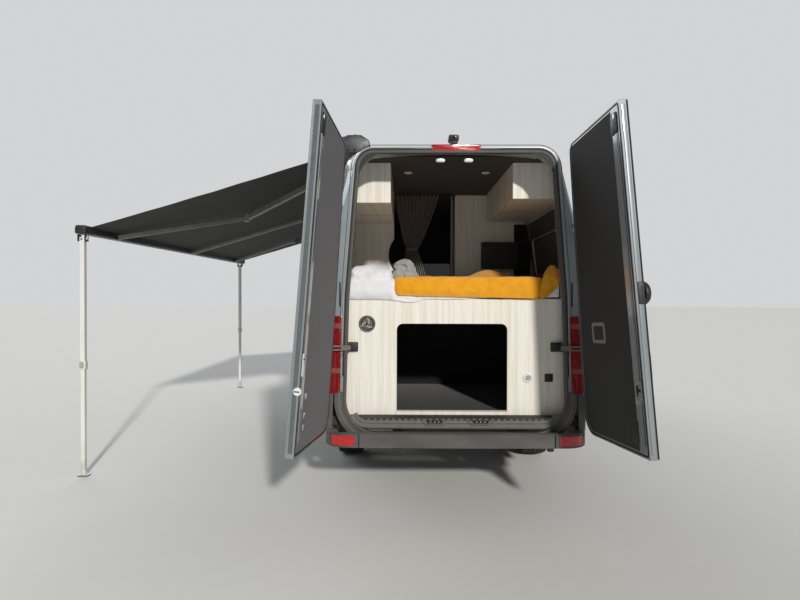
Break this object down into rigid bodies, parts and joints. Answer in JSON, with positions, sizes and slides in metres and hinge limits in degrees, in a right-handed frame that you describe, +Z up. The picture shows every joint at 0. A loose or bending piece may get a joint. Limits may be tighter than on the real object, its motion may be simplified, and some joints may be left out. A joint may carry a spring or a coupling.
{
  "type": "camper van",
  "caption": "Long high-roofed panel van converted as a camper, rear doors open on a raised bed with a boot below, side awning rolled out on two legs.",
  "frame": {"origin": "on the ground, under the middle of the whole object's box, awning and open doors included", "axes": "+X to the van's right, +Y forward, +Z up"},
  "size_m": [4.325, 7.7364, 2.78],
  "materials": {
    "body_paint": "blue-grey solid paint, gloss gone slightly dull",
    "chassis_black": "black chassis paint",
    "bumper_plastic": "weathered dark grey moulded plastic",
    "glass": "tinted toughened glass",
    "lamp_clear": "clear lamp lens",
    "lamp_red": "red lamp lens",
    "carpet_lining": "charcoal stretch carpet lining",
    "rubber_tyre": "worn black rubber",
    "wheel_steel": "silver painted steel",
    "cab_plastic": "grained black plastic",
    "seat_cloth": "dark seat cloth",
    "engine_iron": "cast iron",
    "tank_plastic": "black moulded plastic",
    "exhaust_steel": "dull steel with heat stains",
    "board": "pale lined melamine-faced board",
    "bedding_cloth": "white cotton",
    "throw_cloth": "mustard fleece",
    "curtain_cloth": "dark grey woven cloth",
    "awning_aluminium": "painted and anodised aluminium",
    "awning_cloth": "dark olive grey coated cloth"
  },
  "bodies": {
    "van": {"awning_arms": "awning_aluminium", "awning_case": "awning_aluminium", "awning_fabric": "awning_cloth", "awning_lead_rail": "awning_aluminium", "bed_box": "board", "body_side_left": "body_paint", "body_side_right": "body_paint", "brake_lamp": "lamp_red", "bulkhead": "chassis_black", "cab_frame": "body_paint", "cab_seats": "seat_cloth", "ceiling_lining": "carpet_lining", "curtain": "curtain_cloth", "dashboard": "cab_plastic", "engine_block": "engine_iron", "exhaust": "exhaust_steel", "floor_frame": "chassis_black", "front_axle": "chassis_black", "front_bumper": "bumper_plastic", "front_wings": "body_paint", "fuel_tank": "tank_plastic", "grille": "bumper_plastic", "headlamps": "lamp_clear", "mattress": "bedding_cloth", "overhead_cabinets": "board", "rear_axle": "chassis_black", "rear_bumper": "bumper_plastic", "rear_lamps": "lamp_red", "roof_panel": "body_paint", "side_windows": "glass", "sliding_door": "body_paint", "steering_wheel": "cab_plastic", "tall_cabinets": "board", "television": "cab_plastic", "throw": "throw_cloth", "windscreen": "glass"},
    "bonnet": {"bonnet": "body_paint"},
    "cab_door_left": {"cab_door_left": "body_paint", "cab_glass_left": "glass"},
    "cab_door_right": {"cab_door_right": "body_paint", "cab_glass_right": "glass"},
    "rear_door_left": {"rear_door_left": "body_paint", "rear_lining_left": "carpet_lining"},
    "rear_door_right": {"rear_door_right": "body_paint", "rear_lining_right": "carpet_lining"},
    "knuckle_left": {"knuckle_left": "chassis_black"},
    "knuckle_right": {"knuckle_right": "chassis_black"},
    "awning_leg_rear": {"awning_leg_rear": "awning_aluminium"},
    "awning_leg_front": {"awning_leg_front": "awning_aluminium"},
    "awning_foot_rear": {"awning_foot_rear": "awning_aluminium"},
    "awning_foot_front": {"awning_foot_front": "awning_aluminium"},
    "wheel_front_left": {"tyre_front_left": "rubber_tyre", "rim_front_left": "wheel_steel"},
    "wheel_front_right": {"tyre_front_right": "rubber_tyre", "rim_front_right": "wheel_steel"},
    "wheel_rear_left": {"tyre_rear_left": "rubber_tyre", "rim_rear_left": "wheel_steel"},
    "wheel_rear_right": {"tyre_rear_right": "rubber_tyre", "rim_rear_right": "wheel_steel"}
  },
  "joints": [
    {"name": "bonnet_hinge", "type": "hinge", "parent": "van", "child": "bonnet", "pos_m": [0.9175, 3.17916, 1.322], "axis": [1, 0, 0], "range_deg": [0, 55]},
    {"name": "cab_door_left_hinge", "type": "hinge", "parent": "van", "child": "cab_door_left", "pos_m": [-0.0795, 2.67016, 1], "axis": [0, 0, -1], "range_deg": [0, 68]},
    {"name": "cab_door_right_hinge", "type": "hinge", "parent": "van", "child": "cab_door_right", "pos_m": [1.9145, 2.67016, 1], "axis": [0, 0, 1], "range_deg": [0, 68]},
    {"name": "rear_door_left_hinge", "type": "hinge", "parent": "van", "child": "rear_door_left", "pos_m": [0.0175, -2.98184, 0.6], "axis": [-0.0631, 0, -0.998], "range_deg": [-94.5, 85.5]},
    {"name": "rear_door_right_hinge", "type": "hinge", "parent": "van", "child": "rear_door_right", "pos_m": [1.8175, -2.98184, 0.6], "axis": [-0.0631, 0, 0.998], "range_deg": [-94.4, 85.6]},
    {"name": "steer_left", "type": "hinge", "parent": "van", "child": "knuckle_left", "pos_m": [0.1775, 2.86816, 0.356], "axis": [0, 0, 1], "range_deg": [-33, 33]},
    {"name": "steer_right", "type": "hinge", "parent": "van", "child": "knuckle_right", "pos_m": [1.6575, 2.86816, 0.356], "axis": [0, 0, 1], "range_deg": [-33, 33]},
    {"name": "front_left_wheel_spin", "type": "hinge", "parent": "knuckle_left", "child": "wheel_front_left", "pos_m": [0.0625, 2.86816, 0.356], "axis": [1, 0, 0], "continuous": true},
    {"name": "front_right_wheel_spin", "type": "hinge", "parent": "knuckle_right", "child": "wheel_front_right", "pos_m": [1.7725, 2.86816, 0.356], "axis": [1, 0, 0], "continuous": true},
    {"name": "rear_left_wheel_spin", "type": "hinge", "parent": "van", "child": "wheel_rear_left", "pos_m": [0.0625, -1.45684, 0.356], "axis": [1, 0, 0], "continuous": true},
    {"name": "rear_right_wheel_spin", "type": "hinge", "parent": "van", "child": "wheel_rear_right", "pos_m": [1.7725, -1.45684, 0.356], "axis": [1, 0, 0], "continuous": true},
    {"name": "awning_leg_rear_swing", "type": "hinge", "parent": "van", "child": "awning_leg_rear", "pos_m": [-2.1175, -2.18884, 1.975], "axis": [1, 0, 0], "range_deg": [0, 90]},
    {"name": "awning_foot_rear_slide", "type": "slide", "parent": "awning_leg_rear", "child": "awning_foot_rear", "axis": [0, 0, 1], "range_m": [0, 0.55]},
    {"name": "awning_leg_front_swing", "type": "hinge", "parent": "van", "child": "awning_leg_front", "pos_m": [-2.1175, 2.18716, 1.975], "axis": [-1, 0, 0], "range_deg": [0, 90]},
    {"name": "awning_foot_front_slide", "type": "slide", "parent": "awning_leg_front", "child": "awning_foot_front", "axis": [0, 0, 1], "range_m": [0, 0.55]}
  ],
  "couplings": [
    {"joint": "steer_right", "follows": "steer_left", "ratio": 1}
  ]
}
